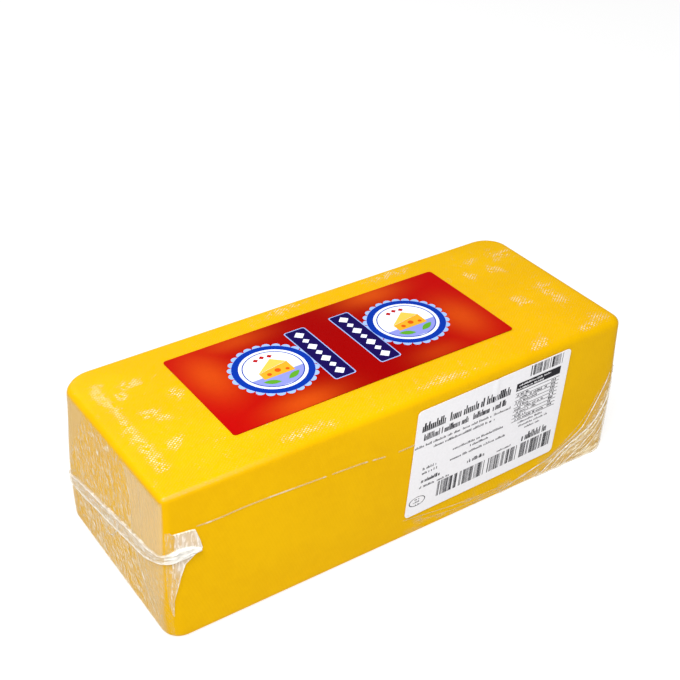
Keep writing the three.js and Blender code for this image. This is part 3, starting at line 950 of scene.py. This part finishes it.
SHEET_LIGHTS = [  # place, half length, half width, strength
    (-74, 12, 12, 22, 0.6), (-44, -34, 20, 10, 0.7), (-46, 34, 20, 8, 0.45),
    (72, -12, 12, 20, 0.6), (42, 34, 20, 10, 0.7), (40, -34, 16, 8, 0.3),
]
SEAL_FROM_MIDDLE, PLAQUE_FROM_MIDDLE = 43.0, 14.5
SEAL_RADIUS, SEAL_FACE_RADIUS, SEAL_GROUND_RADIUS, SEAL_LINE_RADIUS = 22.0, 18.4, 16.2, 16.6
BEADS, BEAD_RING_RADIUS, BEAD_RADIUS = 26, 21.8, 2.5
WEDGE_HOLES = [(-4.5, -3.6, 1.3), (1.2, -2.4, 1.7), (6.4, -3.8, 1.1)]  # place and radius
PLAQUE_EDGE, PLAQUE_FACE = (13.4, 52, 1.6), (12.2, 50.8, 1.2)  # length, width and corner
LOZENGE_PITCH = 6.6


def sheet_place(u, v, lift):
    x, y = SHEET["x"] + u, SHEET["y"] + v
    return np.stack([x, y, top_skin(x, y) + LABEL_GAP + lift], -1)


def sheet_colours(u, v, props):
    """Dark red in the middle, brighter ends, and soft orange lights beside the seals."""
    u, v = u.ravel(), v.ravel()
    bright = smooth(np.abs(u), 18, 78)[:, None]
    colour = np.array(props.dark) * (1 - bright) + np.array(props.red) * bright
    glow = spots_at(u, v, SHEET_LIGHTS)[:, None]
    return colour * (1 - glow) + np.array(props.glow) * glow


def add_seal(page, u, v, props):
    """A round seal with a wedge of cheese between two leaves."""
    for n in range(BEADS):
        a = math.tau * n / BEADS
        bead_u, bead_v = u + BEAD_RING_RADIUS * math.cos(a), v + BEAD_RING_RADIUS * math.sin(a)
        page.layer(disc_shape(bead_u, bead_v, BEAD_RADIUS, rings=1, steps=14), props.pale_blue, 1)
    page.layer(disc_shape(u, v, SEAL_RADIUS), props.blue, 2)
    page.layer(disc_shape(u, v, SEAL_FACE_RADIUS), props.white, 3)
    page.layer(segment_shape(u, v, SEAL_GROUND_RADIUS, -15.6, -4.5), props.violet, 4)
    page.layer(disc_shape(u, v, SEAL_LINE_RADIUS, inner=0.965, rings=1), props.blue, 5)
    side = strip_shape([(u - 9, v - 6.5), (u + 9.5, v - 6.5)], [(u - 9, v - 0.5), (u + 9.5, v + 2.5)])
    page.layer(side, props.wedge, 5)
    top = strip_shape([(u - 9, v - 0.3), (u + 9.5, v + 2.7)], [(u - 8.7, v + 0.1), (u + 3.0, v + 9.0)])
    page.layer(top, props.wedge_top, 5)
    for hole_u, hole_v, radius in WEDGE_HOLES:
        page.layer(disc_shape(u + hole_u, v + hole_v, radius, rings=1, steps=16), props.glow, 6)
    for turn, lean in ((155, -1), (25, 1)):
        page.layer(leaf_shape(u + lean * 6.5, v - 10.2, 9.5, 3.6, turn), props.green, 6)
    for n in (-1, 0, 1):
        page.layer(bar_shape(u + 4.2 * n, v + 12.2 - abs(n) * 0.9, 2.3, 2.3, 0.2, 45), props.red, 6)


def add_plaque(page, u, v, props):
    """A dark plaque with a pale line round it and a row of pale lozenges."""
    page.layer(bar_shape(u, v, *PLAQUE_EDGE), props.pale_blue, 1)
    page.layer(bar_shape(u, v, *PLAQUE_FACE), props.navy, 2)
    for n in range(-3, 4):
        size = 4.6 if n % 2 else 3.2
        page.layer(bar_shape(u, v + LOZENGE_PITCH * n, size, size, 0.2, 45), props.white, 3)


def make_sheet(props):
    page = Print(sheet_place)
    u, v = rounded_grid(SHEET["length"], SHEET["width"], SHEET["corner"], 1.6)
    page.sheet(u, v, LABEL_THICKNESS, sheet_colours(u, v, props))
    for side in (-1, 1):
        add_seal(page, side * SEAL_FROM_MIDDLE, 0.0, props)
        add_plaque(page, side * PLAQUE_FROM_MIDDLE, 0.0, props)
    material = ink_material("printed sheet", 0.3, 2.0, 0.02)
    return make_piece("printed_sheet", page.mesh("printed_sheet"), material, "top_label")


# The weight label on the front

CREASE = [(52.7, 67.5), (51.6, 50.0), (51.2, 35.5)]
TEXT_ROWS = [  # start, baseline, length and height of each row, from the label's lower left corner
    (4.3, 54.2, 60.0, 5.4), (6.0, 48.4, 56.0, 4.0), (0.9, 44.6, 65.0, 1.5), (13.4, 41.4, 42.0, 1.5),
    (27.4, 33.6, 36.5, 1.5), (38.7, 30.8, 13.4, 1.4), (26.6, 27.0, 38.0, 1.5), (39.4, 19.8, 12.2, 2.4),
    (8.0, 28.8, 9.5, 1.7), (8.0, 25.9, 10.8, 1.6), (8.0, 20.4, 12.8, 2.4), (7.4, 16.9, 20.0, 1.4),
    (60.7, 17.8, 10.0, 1.4), (73.0, 31.6, 18.0, 1.3), (74.0, 29.0, 21.0, 1.4), (79.0, 26.4, 12.0, 1.3),
]
HEAVY_FROM = 2.0  # rows higher than this have heavy strokes
BAR_FIELDS = [(20.2, 6.4, 80.5, 9.8), (76.4, 60.8, 23.0, 6.6)]  # as the rows above
WEIGHT_ROW = (78.6, 17.6, 18.0, 4.8)
OVAL = (7.0, 9.0, 5.4, 3.0)  # its middle and half sizes
HEADER_BAR = (82.9, 56.7, 31.5, 4.9)  # its middle and sizes
TABLE_LEFT, TABLE_RIGHT, TABLE_TOP = 67.5, 98.8, 52.6
TABLE_ROWS, TABLE_PITCH = 8, 2.3
MARKS = {  # pitch, share of low marks, share of gaps, thinnest and widest mark as shares of the pitch
    "heavy": (0.24, 0.6, 0.14, 0.5, 0.92),  # its pitch is a share of the height
    "plain": (0.85, 0.6, 0.14, 0.42, 0.75),
    "fine": (0.85, 0.6, 0.14, 0.35, 0.8),
    "bars": (0.8, 0.0, 0.16, 0.3, 0.95),
    "row head": (0.9, 0.6, 0.2, 0.5, 0.85),
    "figures": (1.2, 0.0, 0.1, 0.5, 0.8),
}


def label_place(u, v, lift):
    """Turns a place on the label, from its lower left corner, into a point in front of the block."""
    a, b = u - LABEL["length"] / 2, v - LABEL["width"] / 2
    a = a + b * math.tan(math.radians(LABEL["lean"]))
    c, s = math.cos(math.radians(LABEL["turn"])), math.sin(math.radians(LABEL["turn"]))
    x, z = LABEL["x"] + a * c - b * s, LABEL["z"] + a * s + b * c
    gap, share = distance_to_path(np.stack([u.ravel(), v.ravel()], -1), CREASE)
    fold = 0.5 * bell(gap, 0.9) * (1 - 0.7 * share)
    return np.stack([x, front_skin(x, z) - LABEL_GAP - lift - fold.reshape(x.shape), z], -1)


class LabelPrint(Print):
    """The weight label, with its print laid on it as rows of marks."""

    def __init__(self, props):
        super().__init__(label_place)
        self.ink, self.tree = tuple(props.ink), marks_tree()
        self.material = ink_material("label paper", 0.55, 1.2, 0.1)

    def shape(self, shape):
        self.layer(shape, self.ink, 1)

    def marks(self, kind, u, v, length, height, seed, colour=None):
        """A row of marks from a place on its base line, over the rest of the print if it has a colour."""
        pitch, low, gap, thinnest, widest = MARKS[kind]
        if kind == "heavy":
            pitch *= height
        points, faces = evaluate(self.tree, Marks=max(2, round(length / pitch)), Pitch=pitch, Height=height,
                                 Low_Share=low, Gap_Share=gap, Thinnest=thinnest, Widest=widest, Seed=seed,
                                 Material=self.material)
        self.layer((points + (u, v), faces), colour or self.ink, 2 if colour else 1)


def add_rows(page, seed):
    """The rows of strokes, the two fields of bars and the oval mark."""
    for n, (start, base, length, height) in enumerate(TEXT_ROWS):
        page.marks("heavy" if height > HEAVY_FROM else "plain", start, base, length, height, seed + n)
    for n, field in enumerate(BAR_FIELDS):
        page.marks("bars", *field, seed + 31 + n)
    page.shape(disc_shape(*OVAL, inner=0.9, rings=1))
    for n in range(3):
        page.marks("fine", 4.6, 9.9 - 1.7 * n, 4.6, 0.9, 100 + n)


def add_table(page):
    """The ruled table with its row heads and a column of figures, as plain strokes."""
    middle, length = (TABLE_LEFT + TABLE_RIGHT) / 2, TABLE_RIGHT - TABLE_LEFT
    for n in range(TABLE_ROWS + 1):
        page.shape(bar_shape(middle, TABLE_TOP - n * TABLE_PITCH, length, 0.3, 0.05))
    for n in range(TABLE_ROWS):
        base = TABLE_TOP - n * TABLE_PITCH - 1.75
        page.marks("row head", TABLE_LEFT + 1.2 + 1.5 * (n % 2), base, 9 + 6 * ((n * 5) % 3), 1.2, 60 + n)
        page.marks("figures", TABLE_RIGHT - 5.2, base, 4.0, 1.3, 80 + n)


def add_weight(page, paper):
    """The heavy strokes where the weight stands, and the header bar with pale strokes."""
    page.marks("heavy", *WEIGHT_ROW, 40)
    page.shape(bar_shape(*HEADER_BAR, 0.1))
    for n in range(2):
        page.marks("fine", 68.4, 57.1 - n * 2.2, 24.0 - 5 * n, 1.0, 50 + n, paper)


def make_label(props):
    page = LabelPrint(props)
    u, v = rounded_grid(LABEL["length"], LABEL["width"], LABEL["corner"], 1.5)
    u, v = u + LABEL["length"] / 2, v + LABEL["width"] / 2
    page.sheet(u, v, LABEL_THICKNESS, np.tile(props.paper, (u.size, 1)))
    add_rows(page, props.seed)
    add_table(page)
    add_weight(page, tuple(props.paper))
    return make_piece("paper_label", page.mesh("paper_label"), page.material, "weight_label")


# Stage

def make_camera():
    azimuth, elevation = math.radians(CAMERA_AZIMUTH), math.radians(CAMERA_ELEVATION)
    back = Vector((math.sin(azimuth) * math.cos(elevation), -math.cos(azimuth) * math.cos(elevation),
                   math.sin(elevation)))
    data = bpy.data.cameras.new("camera")
    data.lens, data.sensor_width = CAMERA_LENS, CAMERA_SENSOR
    camera = bpy.data.objects.new("camera", data)
    bpy.context.scene.collection.objects.link(camera)
    level = (-back).to_track_quat("-Z", "Y").to_matrix().to_4x4()
    roll = Matrix.Rotation(math.radians(CAMERA_ROLL), 4, "Z")
    camera.matrix_world = Matrix.Translation(Vector(CAMERA_EYE) * MM + block_shift()) @ level @ roll
    bpy.context.scene.camera = camera


def make_floor(props):
    mesh = bpy.data.meshes.new("floor")
    size = props.floor_size / 2
    corners = [(x * size, y * size, 0) for x, y in ((-1, -1), (1, -1), (1, 1), (-1, 1))]
    mesh.from_pydata(corners, [], [(0, 1, 2, 3)])
    shader = Shader("studio floor")
    cloud = shader.noise(shader.coordinates((400, 400, 400)), 1.0)
    tone = shader.blend(cloud, tuple(props.floor), tuple(v * 0.98 for v in props.floor))
    material = shader.finish(Base_Color=tone, Roughness=0.9, Specular_IOR_Level=0.0,
                             Emission_Color=(1, 1, 1, 1), Emission_Strength=props.floor_glow)
    mesh.materials.append(material)
    floor = bpy.data.objects.new("floor", mesh)
    bpy.context.scene.collection.objects.link(floor)


def make_light(name, light, power):
    data = bpy.data.lights.new(name, "AREA")
    data.size, data.energy = light["size"], power
    lamp = bpy.data.objects.new(name, data)
    lamp.location = light["place"]
    lamp.rotation_mode = "QUATERNION"
    lamp.rotation_quaternion = (Vector(LIGHT_AIM) - Vector(light["place"])).to_track_quat("-Z", "Y")
    bpy.context.scene.collection.objects.link(lamp)


def make_world(props):
    """An even white room. What the camera sees of it directly is plain white."""
    world = bpy.data.worlds.new("white room")
    world.use_nodes = True
    tree = world.node_tree
    tree.nodes.clear()
    white = (1, 1, 1, 1)
    lit = add_node(tree, "ShaderNodeBackground", {0: white, 1: props.room})
    seen = add_node(tree, "ShaderNodeBackground", {0: white, 1: 1.0})
    by_camera = add_node(tree, "ShaderNodeLightPath").outputs["Is Camera Ray"]
    mixed = add_node(tree, "ShaderNodeMixShader", {0: by_camera, 1: lit.outputs[0], 2: seen.outputs[0]})
    add_node(tree, "ShaderNodeOutputWorld", {0: mixed.outputs[0]})
    bpy.context.scene.world = world
    bpy.context.scene.view_settings.view_transform = "Standard"


# Settings

def colour_property(name, description, default):
    return FloatVectorProperty(name=name, description=description, default=default, subtype="COLOR", size=3,
                               min=0, max=1)


class CheeseSettings(bpy.types.PropertyGroup):
    """Finish of the cheese"""
    colour: colour_property("Colour", "Main colour of the cheese", (0.74, 0.42, 0.001))
    deep: colour_property("Deeper colour", "Colour of its deeper clouds", (0.70, 0.385, 0.001))
    roughness: FloatProperty(name="Roughness", description="Roughness under the tight film", default=0.34,
                             min=0, max=1, subtype="FACTOR")
    shine: FloatProperty(name="Shine", description="Strength of the reflections", default=0.015,
                         min=0, max=1, subtype="FACTOR")


class FilmSettings(bpy.types.PropertyGroup):
    """Finish of the film"""
    haze: colour_property("Hazy film", "Colour of the film where it is thinly clouded", (0.73, 0.615, 0.355))
    milk: colour_property("Cloudy film", "Colour of the flecks in loose film", (0.93, 0.82, 0.55))
    crushed: colour_property("Crushed film", "Colour of the film where it is crushed", (0.90, 0.87, 0.80))
    ear_scale: FloatProperty(name="Back ear", description="Size of the back ear against the front one",
                             default=0.72, min=0.3, max=1.0, subtype="FACTOR")


class SheetSettings(bpy.types.PropertyGroup):
    """Colours of the printed sheet"""
    red: colour_property("Red", "Ground colour at the ends", (0.42, 0.001, 0.001))
    dark: colour_property("Dark red", "Ground colour in the middle", (0.29, 0.0, 0.0))
    glow: colour_property("Orange", "Colour of the soft lights", (0.62, 0.085, 0.004))
    blue: colour_property("Blue", "Rim of the seals", (0.002, 0.03, 0.33))
    pale_blue: colour_property("Pale blue", "Beads and thin lines", (0.30, 0.45, 0.80))
    navy: colour_property("Navy", "Plaques", (0.008, 0.003, 0.075))
    violet: colour_property("Violet", "Ground in the seals", (0.24, 0.27, 0.66))
    white: colour_property("White", "Middle of the seals", (0.78, 0.82, 0.92))
    wedge: colour_property("Wedge side", "Cut side of the cheese wedge", (0.70, 0.36, 0.02))
    wedge_top: colour_property("Wedge top", "Top of the cheese wedge", (0.78, 0.52, 0.08))
    green: colour_property("Green", "Leaves", (0.10, 0.33, 0.02))


class LabelSettings(bpy.types.PropertyGroup):
    """Print of the weight label"""
    paper: colour_property("Paper", "Colour of the label paper", (0.77, 0.76, 0.78))
    ink: colour_property("Ink", "Colour of the print", (0.012, 0.011, 0.016))
    seed: IntProperty(name="Seed", description="Picks the strokes of the print", default=5, min=0)


class StageSettings(bpy.types.PropertyGroup):
    """Floor and light"""
    floor: colour_property("Floor", "Colour of the floor", (0.32, 0.32, 0.32))
    floor_glow: FloatProperty(name="Floor glow", description="Light that the floor gives off", default=0.78,
                              min=0)
    floor_size: FloatProperty(name="Floor size", description="Side of the square floor", default=8.0,
                              min=1, unit="LENGTH")
    room: FloatProperty(name="Room light", description="Strength of the even light", default=0.42, min=0)
    key: FloatProperty(name="Main light", description="Power of the main light", default=7.8, min=0,
                       unit="POWER")
    fill: FloatProperty(name="Fill light", description="Power of the light behind", default=2.5, min=0,
                        unit="POWER")


SETTINGS = {
    "cheddar_cheese": CheeseSettings,
    "cheddar_film": FilmSettings,
    "cheddar_sheet": SheetSettings,
    "cheddar_label": LabelSettings,
    "cheddar_stage": StageSettings,
}


# Operators and panel

class CHEDDAR_OT_cheese(bpy.types.Operator):
    """Make the block of cheese"""
    bl_idname = "cheddar.cheese"
    bl_label = "Cheese"

    def execute(self, context):
        make_cheese(context.scene.cheddar_cheese)
        return {"FINISHED"}


class CHEDDAR_OT_film(bpy.types.Operator):
    """Make the clear film round the cheese"""
    bl_idname = "cheddar.film"
    bl_label = "Film"

    def execute(self, context):
        make_film(context.scene.cheddar_film)
        return {"FINISHED"}


class CHEDDAR_OT_threads(bpy.types.Operator):
    """Make the film's seam and fold lines"""
    bl_idname = "cheddar.threads"
    bl_label = "Seam and folds"

    def execute(self, context):
        make_threads(context.scene.cheddar_film)
        return {"FINISHED"}


class CHEDDAR_OT_welds(bpy.types.Operator):
    """Make the weld across each end"""
    bl_idname = "cheddar.welds"
    bl_label = "End welds"

    def execute(self, context):
        make_welds(context.scene.cheddar_film)
        return {"FINISHED"}


class CHEDDAR_OT_ears(bpy.types.Operator):
    """Make the ears of film folded round the left end's corners"""
    bl_idname = "cheddar.ears"
    bl_label = "Ears"

    def execute(self, context):
        make_ears(context.scene.cheddar_film)
        return {"FINISHED"}


class CHEDDAR_OT_sheet(bpy.types.Operator):
    """Make the printed sheet on the top"""
    bl_idname = "cheddar.sheet"
    bl_label = "Printed sheet"

    def execute(self, context):
        make_sheet(context.scene.cheddar_sheet)
        return {"FINISHED"}


class CHEDDAR_OT_label(bpy.types.Operator):
    """Make the weight label on the front"""
    bl_idname = "cheddar.label"
    bl_label = "Weight label"

    def execute(self, context):
        make_label(context.scene.cheddar_label)
        return {"FINISHED"}


class CHEDDAR_OT_stage(bpy.types.Operator):
    """Make the camera, the floor and the lights"""
    bl_idname = "cheddar.stage"
    bl_label = "Stage"

    def execute(self, context):
        props = context.scene.cheddar_stage
        make_camera()
        make_floor(props)
        make_world(props)
        make_light("main light", MAIN_LIGHT, props.key)
        make_light("fill light", FILL_LIGHT, props.fill)
        return {"FINISHED"}


OPERATORS = (CHEDDAR_OT_stage, CHEDDAR_OT_cheese, CHEDDAR_OT_film, CHEDDAR_OT_threads, CHEDDAR_OT_welds,
             CHEDDAR_OT_ears, CHEDDAR_OT_sheet, CHEDDAR_OT_label)


class CHEDDAR_PT_panel(bpy.types.Panel):
    """Makes the block's pieces"""
    bl_idname = "CHEDDAR_PT_panel"
    bl_label = "Cheddar block"
    bl_space_type = "VIEW_3D"
    bl_region_type = "UI"
    bl_category = "Cheddar"

    def draw(self, context):
        for operator in OPERATORS:
            self.layout.operator(operator.bl_idname)
        for name, group in SETTINGS.items():
            box = self.layout.box()
            box.label(text=group.__doc__)
            for key in group.__annotations__:
                box.prop(getattr(context.scene, name), key)


CLASSES = (*SETTINGS.values(), *OPERATORS, CHEDDAR_PT_panel)


def register():
    for item in CLASSES:
        bpy.utils.register_class(item)
    for name, group in SETTINGS.items():
        setattr(bpy.types.Scene, name, PointerProperty(type=group))


def unregister():
    for name in SETTINGS:
        delattr(bpy.types.Scene, name)
    for item in reversed(CLASSES):
        bpy.utils.unregister_class(item)


def main():
    register()
    bpy.ops.cheddar.stage()
    bpy.ops.cheddar.cheese()
    bpy.ops.cheddar.film()
    bpy.ops.cheddar.threads()
    bpy.ops.cheddar.welds()
    bpy.ops.cheddar.ears()
    bpy.ops.cheddar.sheet()
    bpy.ops.cheddar.label()
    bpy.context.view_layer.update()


if __name__ == "__main__":
    main()
